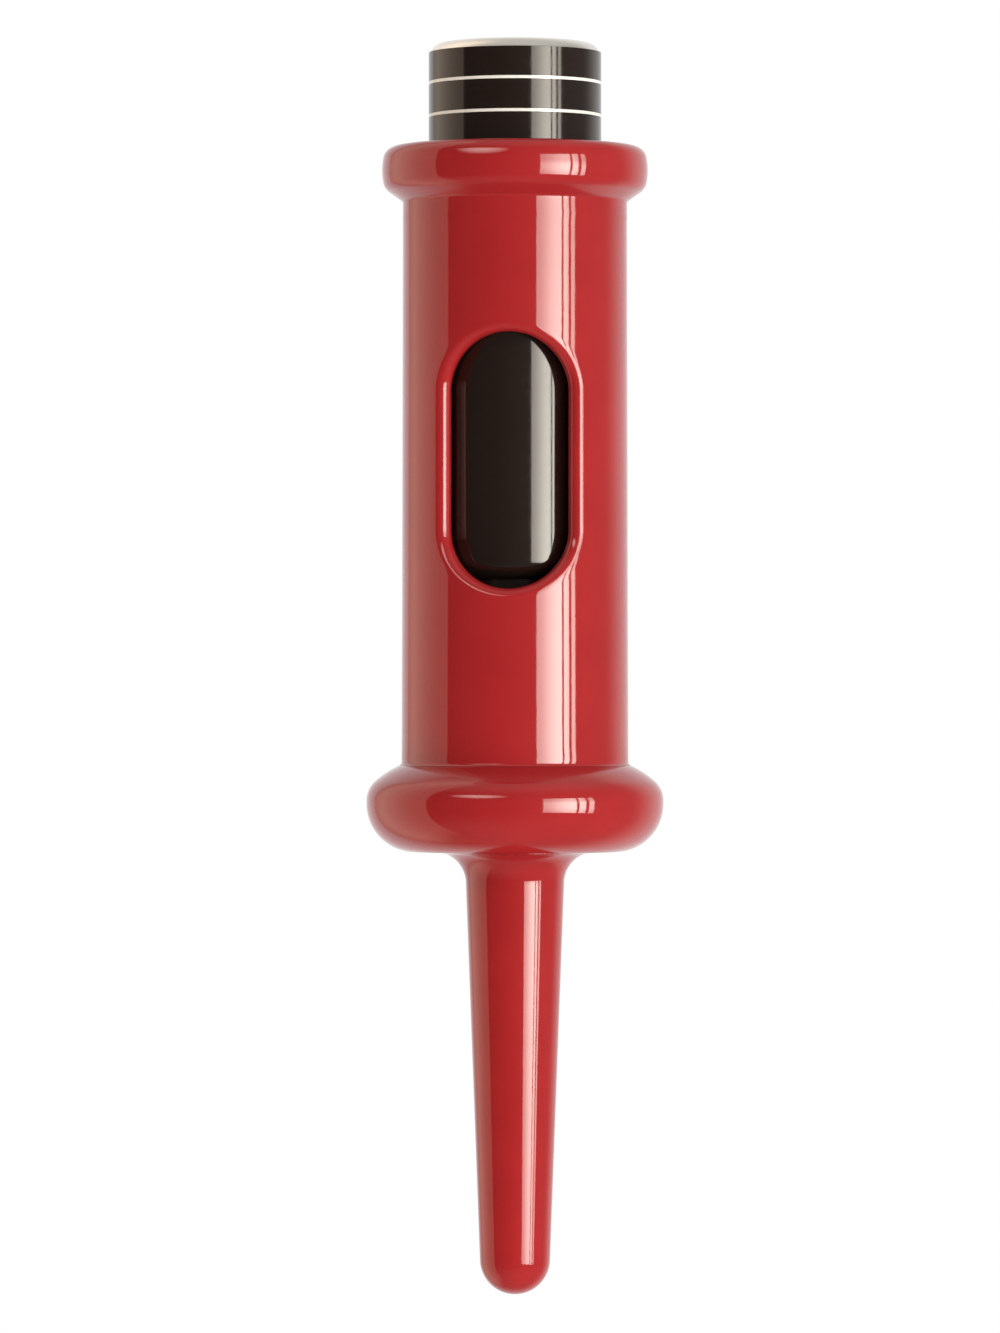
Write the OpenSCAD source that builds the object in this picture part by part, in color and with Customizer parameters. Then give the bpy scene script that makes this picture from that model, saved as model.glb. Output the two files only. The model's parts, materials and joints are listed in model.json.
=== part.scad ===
// Gas cartridge wine opener: a moulded handle holds an inverted gas can, whose valve feeds a hollow needle.
// Pressing the can down on its seated stem lets gas through the needle and lifts the cork.
// Origin on the axis at the underside of the base ring, +Z up, the window faces -Y. Millimetres.

/* [Cartridge] */
// Outside diameter of the bare aluminium can
can_d = 34.7; // [33:0.1:38]
// Wall of the can
can_wall = 0.5; // [0.4:0.05:0.8]
// Length of the can from its mouth bead to its standing rim
can_l = 114.9; // [108:0.1:126]
// Radius of the rounded edge round the can's base
can_edge_r = 3; // [2:0.1:3.4]
// Width of the standing rim
can_rim_w = 1.5; // [1:0.1:2.5]
// Depth of the dome in the can's base
can_dome = 4.2; // [2:0.1:6]
// Radius of the can's shoulder
can_shoulder_r = 3.8; // [2:0.1:3.9]
// Thickness of the printed film sleeve
label_wall = 0.15; // [0.1:0.01:0.4]
// Bare metal left between the sleeve and the standing rim
label_margin = 1.9; // [1.6:0.1:6]
// How far the sleeve is shrunk over the can's shoulder, in degrees
label_wrap = 70; // [10:5:80]

/* [Handle] */
// Gap between the sleeve and the handle's bore
bore_gap = 0.7; // [0.4:0.05:1.5]
// Wall of the handle at the top
handle_wall = 4.45; // [3.8:0.05:6]
// Extra radius at the bottom of the handle, from the mould's draft
handle_draft = 0.3; // [0:0.05:0.8]
// Length of the handle from the base ring to its top
handle_l = 124.9; // [118:0.1:132]
// How far the collar stands out from the handle
collar_step = 4.25; // [3:0.05:6]
// Height of the barrelled band round the collar
collar_band = 5.1; // [4:0.1:7]
// Radius of the band's barrel shape
collar_barrel_r = 13.5; // [9:0.5:40]
// Radius of the collar's upper edge
collar_top_r = 2.7; // [1.5:0.1:3.2]
// Radius of the collar's lower edge
collar_low_r = 3; // [2:0.1:3.4]
// Slope of the collar's underside
collar_slope = 35; // [20:1:50]
// Radius in the corner under the collar
collar_fillet = 0.6; // [0.4:0.1:2]
// Rounding of the bore's upper edge
bore_edge_r = 0.8; // [0.3:0.1:1.5]
// Radius in the corner between the handle's foot and the ring
foot_fillet = 0.8; // [0.4:0.1:1.2]

/* [Window] */
// Width of the window
window_w = 23.6; // [18:0.1:26]
// Height of the window
window_h = 51.3; // [40:0.1:60]
// Height of the window's middle above the base ring
window_up = 61; // [52:0.1:66]
// Radius of the rolled edge round the window
window_lip_r = 1.9; // [0.8:0.1:2.2]

/* [Base ring] */
// How far the ring stands out from the foot of the handle
ring_step = 7.1; // [5:0.1:9]
// Radius of the ring's lower edge, which ends flush with the foil cutter
ring_low_r = 9.8; // [9:0.1:11]
// Height of the straight band at the widest line
ring_band = 0.6; // [0.2:0.1:2]
// Radius of the ring's upper edge
ring_nose_r = 5.4; // [4:0.1:6]
// Radius of the ring's crown
ring_crown_r = 20; // [16:0.5:26]
// Angle where the upper edge meets the crown
ring_nose_turn = 49; // [42:1:54]
// Thickness of the floor between the mouth and the cartridge
floor_t = 5.1; // [4:0.1:6]
// Height of the spigot that the handle is bonded to
spigot_h = 13.5; // [8:0.5:14]
// Wall of the spigot
spigot_wall = 1.6; // [1.2:0.1:1.7]

/* [Foil cutter] */
// Diameter of the mouth that takes the bottle's lip
mouth_d = 33.2; // [32:0.1:35]
// Diameter of a cutter wheel
wheel_d = 7.6; // [6:0.1:9]
// Thickness of a cutter wheel
wheel_t = 1.2; // [0.8:0.1:1.6]
// How far each wheel reaches into the mouth
wheel_bite = 2.7; // [2:0.1:3.2]
// Height of the wheels above the underside
wheel_up = 8; // [7.2:0.1:9]
// Diameter of a wheel's axle
axle_d = 2; // [1.4:0.1:2.6]
// Length of an axle
axle_l = 8; // [6:0.1:8.6]
// Diameter of the screws that hold the carrier
screw_d = 2.2; // [1.8:0.1:2.6]
// Diameter of the screw heads
screw_head_d = 4.2; // [3.6:0.1:4.8]
// How far the screws bite into the ring's floor
screw_bite = 3.4; // [2.5:0.1:3.6]

/* [Needle] */
// Outside diameter of the needle
needle_d = 2.7; // [2:0.1:3.2]
// Diameter of the gas passage
gas_d = 1.5; // [0.8:0.1:1.6]
// Length of the needle below the underside
needle_reach = 70; // [60:1:78]
// Length of the needle's point
needle_point = 6; // [4:0.5:10]
// Distance of the gas ports from the point
port_up = 9; // [8:0.5:14]
// Diameter of the hub's shank in the floor
hub_d = 10; // [9:0.1:12]
// Diameter of the hub's flange
hub_flange_d = 14; // [13:0.1:18]
// Thickness of the hub's flange
hub_flange_t = 2; // [1.5:0.1:3]
// Diameter of the hub's head, which takes the stem
hub_head_d = 9; // [8.4:0.1:11]
// Height of the hub above the floor
hub_h = 22.8; // [14:0.1:26]
// Depth of the socket for the stem
socket_l = 4; // [3.4:0.1:5]
// How far the hub's nose stands below the floor
hub_nose = 2; // [1:0.1:3]
// Thickness of the sealing ring round the stem
seal_t = 1.2; // [0.9:0.05:1.4]

/* [Needle guard] */
// Wall of the guard
guard_wall = 2; // [1.4:0.1:2.6]
// Diameter of the guard below its flare
guard_d = 19.9; // [18:0.1:22]
// Diameter of the guard's rounded tip
guard_tip_d = 14.2; // [12:0.1:16]
// Length of the guard below the underside
guard_l = 89.7; // [86:0.1:100]
// Radius of the flare under the ring
flare_r = 6.4; // [5.8:0.1:6.6]
// Depth of the flare
flare_h = 6.6; // [6.4:0.1:7.4]
// Width of the flare's lip beyond the guard
flare_w = 5.6; // [4:0.1:5.8]
// Thickness of the guard's plate
plate_t = 2; // [1.5:0.1:3]
// Recess of the plate inside the mouth
plate_up = 0.4; // [0.2:0.1:0.8]
// Height of the plug that grips the mouth
plug_h = 5; // [3:0.1:5.2]
// Wall of the plug
plug_wall = 1.5; // [1:0.1:2.5]

/* [Valve] */
// Diameter of the valve stem
stem_d = 4; // [3.4:0.1:4.4]
// Length of the stem from its tip to its shoulder
stem_out = 11; // [10:0.1:13]
// Diameter of the stem's shoulder
shoulder_d = 6.4; // [6:0.1:6.8]
// Thickness of the stem's shoulder
shoulder_t = 2; // [1.5:0.1:2.5]
// Thickness of the stem gasket
gasket_t = 1.5; // [1.4:0.1:2]
// Travel of the cartridge on its stem
press_travel = 2; // [1.5:0.1:2.4]
// Diameter of the valve housing
housing_d = 11; // [10:0.1:12]
// Inside diameter of the valve housing
chamber_d = 7.4; // [7.2:0.1:8]
// Depth of the chamber in the valve housing
chamber_l = 8.5; // [8:0.1:10]
// Thickness of the housing's end wall
housing_end = 1.5; // [1:0.1:2.5]
// Diameter of the tailpiece that holds the dip tube
tail_d = 3.8; // [3.4:0.1:4.4]
// Length of the tailpiece
tail_l = 6; // [4:0.5:9]
// Wall of the dip tube
dip_wall = 0.75; // [0.5:0.05:1]
// Clear space between the dip tube and the can's base
dip_clear = 6; // [4:0.5:12]
// Sheet thickness of the valve cup
cup_t = 0.4; // [0.3:0.05:0.5]
// Radius of the can's mouth bead, at its middle
bead_at = 14.1; // [13.9:0.05:14.3]
// Radius of the bead's round section
bead_r = 1.2; // [1:0.05:1.3]
// Thickness of the gasket between bead and cup
lining_t = 0.31; // [0.2:0.01:0.4]
// Height of the cup's floor above its end face
cup_depth = 8.9; // [8:0.1:9.4]
// Height of the bead above the cup's end face
bead_up = 4.2; // [3.8:0.1:4.6]
// Depth of the can's neck above the bead
neck_h = 5.2; // [4.6:0.1:6]
// Wire diameter of the valve spring
wire_d = 0.7; // [0.5:0.05:0.8]
// Middle diameter of the valve spring
spring_d = 4.8; // [4.6:0.05:5.2]
// Number of curls in the valve spring
spring_turns = 5; // [3:1:5]

/* [Hidden] */
$fn = 96;
// Clearance of a part that runs or slides on another
run_gap = 0.05;
// Clearance of bonded, pressed and screwed pieces
fit_gap = 0.02;
// Clearance of the wheels in their slots
wheel_gap = 0.3;
wheel_side_gap = 0.2;
// Clearance of the valve cup round the stem and the housing
cup_gap = 0.3;
// Material left outside a wheel's slot
carrier_skin = 0.6;
// Spare length of a cutter past the solid that it cuts
past = 1;
// How far the fillet at the handle's foot turns towards the ring, in degrees
foot_turn = 60;
// Step of the arcs, in degrees
arc_step = 5;

red = [0.69, 0.16, 0.16];
black = [0.13, 0.11, 0.10];
steel = [0.78, 0.79, 0.80];
metal = [0.86, 0.86, 0.84];
brass = [0.80, 0.65, 0.33];
rubber = [0.18, 0.18, 0.19];
white = [0.93, 0.92, 0.89];

// Radii that follow from the can
can_r = can_d / 2;
label_in_r = can_r + fit_gap;
label_r = label_in_r + label_wall;
bore_r = label_r + bore_gap;
handle_top_r = bore_r + handle_wall;
handle_foot_r = handle_top_r + handle_draft;
collar_r = handle_top_r + collar_step;
ring_r = handle_foot_r + ring_step;

// The foil cutter in the mouth, and the pocket that holds it
mouth_r = mouth_d / 2;
wheel_r = wheel_d / 2;
wheel_at = mouth_r + wheel_r - wheel_bite;
wheel_turns = [45, 135, 225, 315];
slot_r = wheel_r + wheel_gap;
carrier_r = wheel_at + slot_r + carrier_skin;
pocket_r = carrier_r + run_gap;

// The ring's outline: lower arc, band, upper edge, then a flatter crown that meets the handle
ring_low_in = ring_r - ring_low_r;
ring_belly_z = sqrt(pow(ring_low_r, 2) - pow(pocket_r - ring_low_in, 2));
ring_nose_at = [ring_r - ring_nose_r, ring_belly_z + ring_band];
ring_turn = [cos(ring_nose_turn), sin(ring_nose_turn)];
ring_crown_at = ring_nose_at + (ring_nose_r - ring_crown_r) * ring_turn;
ring_crown_end = acos((handle_foot_r - ring_crown_at[0]) / ring_crown_r);
seat_z = ring_crown_at[1] + ring_crown_r * sin(ring_crown_end);
floor_z = seat_z - floor_t;
handle_top_z = seat_z + handle_l;
spigot_r = bore_r - fit_gap;

// The screws and axles of the foil cutter
screw_at = (mouth_r + carrier_r) / 2;
screw_turns = [0, 90, 180, 270];
screw_sink = 0.3;
axle_z = floor_z - axle_l - wheel_gap;

// The hub, the stem and the valve, upwards from the floor
hub_top_z = seat_z + hub_h;
socket_z = hub_top_z - socket_l;
socket_r = stem_d / 2 + run_gap;
seal_r = seal_t / 2;
seal_at = stem_d / 2 + fit_gap + seal_r;
seal_z = hub_top_z - socket_l / 2;
hub_nose_z = floor_z - hub_nose;
needle_top_z = seat_z + hub_flange_t;
shoulder_z = socket_z + stem_out;
gasket_z = shoulder_z - gasket_t;
cup_z = gasket_z - cup_t;
cup_floor_z = cup_z + cup_depth;
bead_z = cup_z + bead_up;
curl_in = bead_r + lining_t + 2 * fit_gap;
curl_out = curl_in + cup_t;
chamber_z = shoulder_z + chamber_l;
housing_z = chamber_z + housing_end;
tail_z = housing_z + tail_l;

// The can, upwards from its bead
neck_r = bead_at - bead_r / 2;
can_neck_z = bead_z + neck_h;
can_shoulder_z = can_neck_z + can_shoulder_r;
can_top_z = bead_z - bead_r + can_l;
rim_out_r = can_r - can_edge_r;
rim_in_r = rim_out_r - can_rim_w;
dome_r = (rim_in_r * rim_in_r + can_dome * can_dome) / (2 * can_dome);
dome_z = can_top_z - can_dome + dome_r;
label_top_z = can_top_z - label_margin;

// The guard, downwards from the mouth
guard_r = guard_d / 2;
guard_tip_r = guard_tip_d / 2;
guard_tip_z = guard_tip_r - guard_l;
guard_taper = atan((guard_r - guard_tip_r) / (-flare_h - guard_tip_z));
guard_in_r = guard_r - guard_wall + (plate_up + plate_t) * tan(guard_taper);
lip_r = guard_r + flare_w;
flare_at = [guard_r + flare_r, -flare_h];
flare_start = acos((lip_r - flare_at[0]) / flare_r);
plug_r = mouth_r - run_gap;

// Points of an arc about c, from one angle to another
function arc(c, r, from, to) =
    let (n = max(2, ceil(abs(to - from) / arc_step)))
    [for (i = [0:n]) c + r * [cos(from + (to - from) * i / n), sin(from + (to - from) * i / n)]];

// Outside radius of the handle at a height
function handle_r(z) = handle_foot_r - handle_draft * (z - seat_z) / handle_l;

// Height of the ring's crown at a radius
function crown_z(r) = ring_crown_at[1] + sqrt(pow(ring_crown_r, 2) - pow(r - ring_crown_at[0], 2));

module tube(r_out, r_in, z, h) {
    translate([0, 0, z])
        difference() {
            cylinder(r = r_out, h = h);
            translate([0, 0, -past])
                cylinder(r = r_in, h = h + 2 * past);
        }
}

module peg(r, z, h) {
    translate([0, 0, z])
        cylinder(r = r, h = h);
}

// Outline of the handle: foot, drafted wall, corner, sloped underside, barrel of the collar, bore
function handle_outline() =
    let (
        barrel_turn = asin(collar_band / 2 / collar_barrel_r),
        barrel_end = [cos(barrel_turn), sin(barrel_turn)],
        barrel_z = handle_top_z - collar_band / 2 - collar_top_r * (1 - barrel_end[1]),
        barrel_at = [collar_r - collar_barrel_r, barrel_z],
        top_at = barrel_at + (collar_barrel_r - collar_top_r) * barrel_end,
        low_at = barrel_at + (collar_barrel_r - collar_low_r) * [barrel_end[0], -barrel_end[1]],
        foot_tip_r = handle_foot_r + foot_fillet * (1 - cos(foot_turn)),
        foot_tip_z = crown_z(foot_tip_r) + fit_gap,
        foot_at = [handle_foot_r + foot_fillet, foot_tip_z + foot_fillet * sin(foot_turn)],
        edge_at = [bore_r + bore_edge_r, handle_top_z - bore_edge_r],
        slope = [cos(collar_slope), sin(collar_slope)],
        low_end = low_at + collar_low_r * [sin(collar_slope), -cos(collar_slope)],
        corner_z = low_end[1] - (low_end[0] - handle_top_r) * slope[1] / slope[0],
        corner_cut = collar_fillet / tan(45 + collar_slope / 2),
        fillet_at = [handle_r(corner_z) + collar_fillet, corner_z - corner_cut]
    )
    concat(
        [[bore_r, seat_z], [handle_foot_r, seat_z]],
        arc(foot_at, foot_fillet, 180 + foot_turn, 180),
        arc(fillet_at, collar_fillet, 180, 90 + collar_slope),
        arc(low_at, collar_low_r, collar_slope - 90, -barrel_turn),
        arc(barrel_at, collar_barrel_r, -barrel_turn, barrel_turn),
        arc(top_at, collar_top_r, barrel_turn, 90),
        arc(edge_at, bore_edge_r, 90, 180)
    );

// The window's cutter: a rounded slot whose edge is the path of a ball rolled between slot and handle
lip_steps = 6;
lip_short = 14;
lip_run = 2;
half_turn_steps = 20;
window_r = window_w / 2;
window_z = seat_z + window_up;
window_in_y = -bore_r / 2;
window_out_y = -collar_r;

function window_turn(i) = 180 * (i - (i > half_turn_steps ? 1 : 0)) / half_turn_steps;

function window_mid(i) = window_z + (i > half_turn_steps ? -1 : 1) * (window_h - window_w) / 2;

function ball_at(x, z) =
    let (r = handle_r(z) - window_lip_r)
    [x, -sqrt(r * r - x * x), z];

// One point of the rolled edge: the ball's centre, turned from the slot's side towards the handle's side
function lip_point(i, step) =
    let (
        side = [cos(window_turn(i)), 0, sin(window_turn(i))],
        ball = ball_at((window_r + window_lip_r) * side[0], window_mid(i) + (window_r + window_lip_r) * side[2]),
        out = [ball[0], ball[1], 0] / norm([ball[0], ball[1]]),
        whole = acos(-side * out),
        turn = (whole - lip_short) * min(step, lip_steps) / lip_steps,
        spoke = (sin(turn) * out - sin(whole - turn) * side) / sin(whole),
        along = (cos(turn) * out + cos(whole - turn) * side) / sin(whole)
    )
    ball + window_lip_r * spoke + (step > lip_steps ? lip_run : 0) * along;

function window_ring(k, n) = [
    for (i = [0:n - 1])
        let (p = lip_point(i, max(0, k - 1)))
        k == 0 ? [p[0], window_in_y, p[2]] :
        k == lip_steps + 3 ? [p[0], window_out_y, p[2]] : p
];

// Triangles between rings of n points, with both ends closed
function ring_faces(rings, n) = concat(
    [[for (i = [0:n - 1]) i]],
    [[for (i = [n - 1:-1:0]) (rings - 1) * n + i]],
    [for (k = [0:rings - 2], i = [0:n - 1]) [k * n + i, (k + 1) * n + i, k * n + (i + 1) % n]],
    [for (k = [0:rings - 2], i = [0:n - 1])
        [k * n + (i + 1) % n, (k + 1) * n + i, (k + 1) * n + (i + 1) % n]]
);

module window_cut() {
    n = 2 * half_turn_steps + 2;
    rings = lip_steps + 4;
    polyhedron([for (k = [0:rings - 1]) each window_ring(k, n)], ring_faces(rings, n));
}

module handle_body() {
    color(red)
        difference() {
            rotate_extrude()
                polygon(handle_outline());
            window_cut();
        }
}

function ring_outline() =
    let (
        low_at = [ring_low_in, ring_belly_z],
        low_from = acos((pocket_r - ring_low_in) / ring_low_r)
    )
    concat(
        arc(low_at, ring_low_r, -low_from, 0),
        arc(ring_nose_at, ring_nose_r, 0, ring_nose_turn),
        arc(ring_crown_at, ring_crown_r, ring_nose_turn, ring_crown_end),
        [
            [spigot_r, seat_z], [spigot_r, seat_z + spigot_h],
            [spigot_r - spigot_wall, seat_z + spigot_h], [spigot_r - spigot_wall, seat_z],
            [hub_d / 2 + fit_gap, seat_z], [hub_d / 2 + fit_gap, floor_z], [pocket_r, floor_z]
        ]
    );

module base_ring() {
    color(red)
        difference() {
            rotate_extrude()
                polygon(ring_outline());
            for (a = screw_turns)
                rotate(a)
                    translate([screw_at, 0, 0])
                        peg(screw_d / 2 + fit_gap, floor_z - past, screw_bite + past + fit_gap);
        }
}

module at_wheel(i) {
    rotate(wheel_turns[i])
        translate([wheel_at, 0, 0])
            children();
}

module cutter_carrier() {
    head_h = (screw_head_d - screw_d) / 2;
    color(black)
        difference() {
            tube(carrier_r, mouth_r, 0, floor_z);
            for (i = [0:3])
                at_wheel(i) {
                    peg(slot_r, wheel_up - wheel_t / 2 - wheel_side_gap, wheel_t + 2 * wheel_side_gap);
                    peg(axle_d / 2 + fit_gap, axle_z, floor_z - axle_z + past);
                }
            for (a = screw_turns)
                rotate(a)
                    translate([screw_at, 0, 0]) {
                        peg(screw_d / 2 + run_gap, -past, floor_z + 2 * past);
                        peg(screw_head_d / 2 + run_gap, -past, past + screw_sink);
                        translate([0, 0, screw_sink])
                            cylinder(r1 = screw_head_d / 2 + run_gap, r2 = screw_d / 2 + run_gap, h = head_h);
                    }
        }
}

module cutter_axles() {
    color(steel)
        for (i = [0:3])
            at_wheel(i)
                peg(axle_d / 2, axle_z, axle_l);
}

// Countersunk screws with a cross recess, one solid each
module carrier_screws() {
    head_h = (screw_head_d - screw_d) / 2;
    cross_l = 0.6 * screw_head_d;
    cross_w = 0.6;
    color(steel)
        for (a = screw_turns)
            rotate(a)
                translate([screw_at, 0, screw_sink])
                    difference() {
                        union() {
                            cylinder(r1 = screw_head_d / 2, r2 = screw_d / 2, h = head_h);
                            peg(screw_d / 2, head_h / 2, floor_z + screw_bite - screw_sink - head_h / 2);
                        }
                        for (turn = [0, 90])
                            rotate(turn)
                                cube([cross_l, cross_w, cross_w * 2], center = true);
                    }
}

// A disc ground to an edge from both sides
module cutter_wheel(i) {
    land_r = 0.68 * wheel_r;
    edge = 0.1;
    color(steel)
        at_wheel(i)
            translate([0, 0, wheel_up])
                rotate_extrude()
                    polygon([
                        [axle_d / 2 + run_gap, -wheel_t / 2], [land_r, -wheel_t / 2],
                        [wheel_r, -edge / 2], [wheel_r, edge / 2],
                        [land_r, wheel_t / 2], [axle_d / 2 + run_gap, wheel_t / 2]
                    ]);
}

module needle_hub() {
    groove_r = seal_at + seal_r + run_gap;
    groove_h = seal_r + run_gap;
    nose_bevel = 0.8;
    hole_r = needle_d / 2 + fit_gap;
    color(brass)
        rotate_extrude()
            polygon([
                [hole_r, hub_nose_z], [hub_d / 2 - nose_bevel, hub_nose_z],
                [hub_d / 2, hub_nose_z + nose_bevel], [hub_d / 2, seat_z],
                [hub_flange_d / 2, seat_z], [hub_flange_d / 2, seat_z + hub_flange_t],
                [hub_head_d / 2, seat_z + hub_flange_t], [hub_head_d / 2, hub_top_z - nose_bevel / 2],
                [hub_head_d / 2 - nose_bevel / 2, hub_top_z], [socket_r, hub_top_z],
                [socket_r, seal_z + groove_h], [groove_r, seal_z + groove_h],
                [groove_r, seal_z - groove_h], [socket_r, seal_z - groove_h],
                [socket_r, socket_z], [gas_d / 2, socket_z],
                [gas_d / 2, needle_top_z], [hole_r, needle_top_z]
            ]);
}

module hub_seal() {
    color(rubber)
        translate([0, 0, seal_z])
            rotate_extrude()
                translate([seal_at, 0])
                    circle(r = seal_r);
}

module needle() {
    tip_z = -needle_reach;
    port_z = tip_z + port_up;
    port_d = 0.6 * gas_d;
    color(steel)
        difference() {
            union() {
                peg(needle_d / 2, tip_z + needle_point, needle_top_z - tip_z - needle_point);
                translate([0, 0, tip_z])
                    cylinder(r1 = 0.1, r2 = needle_d / 2, h = needle_point);
            }
            peg(gas_d / 2, port_z - port_d, needle_top_z - port_z + port_d + past);
            translate([0, 0, port_z])
                rotate([0, 90, 0])
                    cylinder(d = port_d, h = 2 * needle_d, center = true);
        }
}

// Outline of the guard: plate, plug, lip, flare, taper, round tip, and the hollow back up
function guard_outline() = concat(
    [
        [guard_in_r, plate_up + plate_t], [plug_r - plug_wall, plate_up + plate_t],
        [plug_r - plug_wall, plate_up + plug_h], [plug_r - plug_wall / 2, plate_up + plug_h],
        [plug_r, plate_up + plug_h - plug_wall / 2], [plug_r, plate_up], [lip_r, plate_up]
    ],
    arc(flare_at, flare_r, flare_start, 180),
    arc([0, guard_tip_z], guard_tip_r, -guard_taper, -90),
    arc([0, guard_tip_z], guard_tip_r - guard_wall, -90, -guard_taper)
);

module needle_guard() {
    color(red)
        rotate_extrude()
            polygon(guard_outline());
}

// The can's section: its outside less its inside, and the round bead at its mouth
function can_outline(wall) = concat(
    [[0, bead_z], [neck_r - wall, bead_z], [neck_r - wall, can_neck_z + wall]],
    arc([can_r - can_shoulder_r, can_shoulder_z], can_shoulder_r - wall, -90, 0),
    arc([rim_out_r, can_top_z - can_edge_r], can_edge_r - wall, 0, 90),
    arc([0, dome_z], dome_r + wall, asin(rim_in_r / dome_r) - 90, -90)
);

module can_shell() {
    color(metal)
        rotate_extrude() {
            difference() {
                polygon(can_outline(0));
                polygon(concat([[0, bead_z - past], [neck_r - can_wall, bead_z - past]], can_outline(can_wall)));
            }
            translate([bead_at, bead_z])
                circle(r = bead_r);
        }
}

// The sleeve's section: straight on the can's wall, and shrunk round its shoulder at the lower end
function label_outline() =
    let (shoulder_at = [can_r - can_shoulder_r, can_shoulder_z])
    concat(
        arc(shoulder_at, can_shoulder_r + fit_gap, -label_wrap, 0),
        [[label_in_r, label_top_z], [label_r, label_top_z]],
        arc(shoulder_at, can_shoulder_r + fit_gap + label_wall, 0, -label_wrap)
    );

module can_label() {
    color(black)
        rotate_extrude()
            polygon(label_outline());
}

// Half of a round ring, on the side that faces down
module half_round(r_out, r_in) {
    translate([bead_at, bead_z])
        intersection() {
            difference() {
                circle(r = r_out);
                circle(r = r_in);
            }
            translate([-r_out - past, -r_out - past])
                square([2 * (r_out + past), r_out + past]);
        }
}

module valve_cup() {
    hole_r = stem_d / 2 + cup_gap;
    post_r = housing_d / 2 + cup_gap + cup_t;
    wall_r = bead_at - curl_in;
    color(steel)
        rotate_extrude() {
            translate([hole_r, cup_z])
                square([post_r - hole_r, cup_t]);
            translate([post_r - cup_t, cup_z])
                square([cup_t, cup_depth]);
            translate([post_r - cup_t, cup_floor_z - cup_t])
                square([wall_r - post_r + cup_t, cup_t]);
            translate([wall_r - cup_t, bead_z])
                square([cup_t, cup_floor_z - bead_z]);
            half_round(curl_out, curl_in);
        }
}

module cup_gasket() {
    color(rubber)
        rotate_extrude()
            half_round(bead_r + fit_gap + lining_t, bead_r + fit_gap);
}

module stem_gasket() {
    color(rubber)
        tube(housing_d / 2, stem_d / 2 + run_gap, gasket_z, gasket_t);
}

module valve_housing() {
    vent_d = 0.6 * tail_d;
    color(white)
        difference() {
            union() {
                peg(housing_d / 2, shoulder_z, housing_z - shoulder_z);
                peg(tail_d / 2, housing_z - past, tail_l + past);
            }
            peg(chamber_d / 2, shoulder_z - past, chamber_l + past);
            peg(vent_d / 2, shoulder_z, tail_z - shoulder_z + past);
        }
}

module dip_tube() {
    color(white)
        tube(tail_d / 2 + fit_gap + dip_wall, tail_d / 2 + fit_gap, housing_z,
            can_top_z - can_dome - can_wall - dip_clear - housing_z);
}

module valve_stem() {
    post_d = spring_d - wire_d - 4 * run_gap - 1;
    post_h = 2;
    bore_end = shoulder_z - gasket_t / 4;
    orifice_d = 0.5;
    orifice_z = shoulder_z - gasket_t / 2;
    bevel = 0.4;
    color(white)
        difference() {
            rotate_extrude()
                polygon([
                    [0, socket_z], [stem_d / 2 - bevel, socket_z], [stem_d / 2, socket_z + bevel],
                    [stem_d / 2, shoulder_z], [shoulder_d / 2, shoulder_z],
                    [shoulder_d / 2, shoulder_z + shoulder_t], [post_d / 2, shoulder_z + shoulder_t],
                    [post_d / 2, shoulder_z + shoulder_t + post_h], [0, shoulder_z + shoulder_t + post_h]
                ]);
            peg(gas_d / 2, socket_z - past, bore_end - socket_z + past);
            translate([0, 0, orifice_z])
                rotate([0, 90, 0])
                    cylinder(d = orifice_d, h = stem_d + past, center = true);
        }
}

// The valve spring is one wire along a helix, between the stem's shoulder and the chamber's end
wire_sides = 6;
rings_a_turn = 8;
spring_low = shoulder_z + shoulder_t + wire_d / 2 + run_gap;
spring_high = chamber_z - wire_d / 2 - run_gap;
spring_rings = spring_turns * rings_a_turn + 1;
spring_pitch = (spring_high - spring_low) / spring_turns;
spring_lead = atan(spring_pitch / (PI * spring_d));

function spring_turn(k) = 360 * k / rings_a_turn;

function spring_mid(k) = [
    spring_d / 2 * cos(spring_turn(k)),
    spring_d / 2 * sin(spring_turn(k)),
    spring_low + spring_pitch * k / rings_a_turn
];

function wire_point(k, j) =
    let (
        out = [cos(spring_turn(k)), sin(spring_turn(k)), 0],
        up = [sin(spring_turn(k)) * sin(spring_lead), -cos(spring_turn(k)) * sin(spring_lead), cos(spring_lead)],
        a = 360 * j / wire_sides
    )
    spring_mid(k) + wire_d / 2 * (cos(a) * out + sin(a) * up);

// Least gap between the wire and itself, over points more than half a turn apart
spring_gap = min([
    for (k = [0:spring_rings - 1], m = [k + rings_a_turn / 2:1:spring_rings - 1])
        norm(spring_mid(k) - spring_mid(m))
]) - wire_d;

module valve_spring() {
    points = [for (k = [0:spring_rings - 1], j = [0:wire_sides - 1]) wire_point(k, j)];
    echo(spring_gap = spring_gap);
    color(steel)
        polyhedron(points, ring_faces(spring_rings, wire_sides));
}

handle_body();
base_ring();
cutter_carrier();
cutter_axles();
carrier_screws();
cutter_wheel(0);  // cutter_wheel_1
cutter_wheel(1);  // cutter_wheel_2
cutter_wheel(2);  // cutter_wheel_3
cutter_wheel(3);  // cutter_wheel_4
needle_hub();
hub_seal();
needle();
needle_guard();
can_shell();
can_label();
valve_cup();
cup_gasket();
stem_gasket();
valve_housing();
valve_spring();
valve_stem();
dip_tube();
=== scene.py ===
# %% [markdown]
# # A gas cartridge wine opener
#
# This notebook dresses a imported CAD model. The opener is a red moulded handle with a collar, a fat ring at
# its foot and an oval window. A black gas can stands upside down inside it, and a red guard covers the
# needle. The hidden works (valve, hub, cutter wheels) stay as the CAD solids and only get finishes. The five
# pieces that everyone looks at are modelled again here, because gloss shows every facet, and so is the
# valve's spring, because it shortens when the can is pressed.

# %% Load the frame
import json
import math

import bmesh
import bpy
from mathutils import Matrix, Vector


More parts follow.
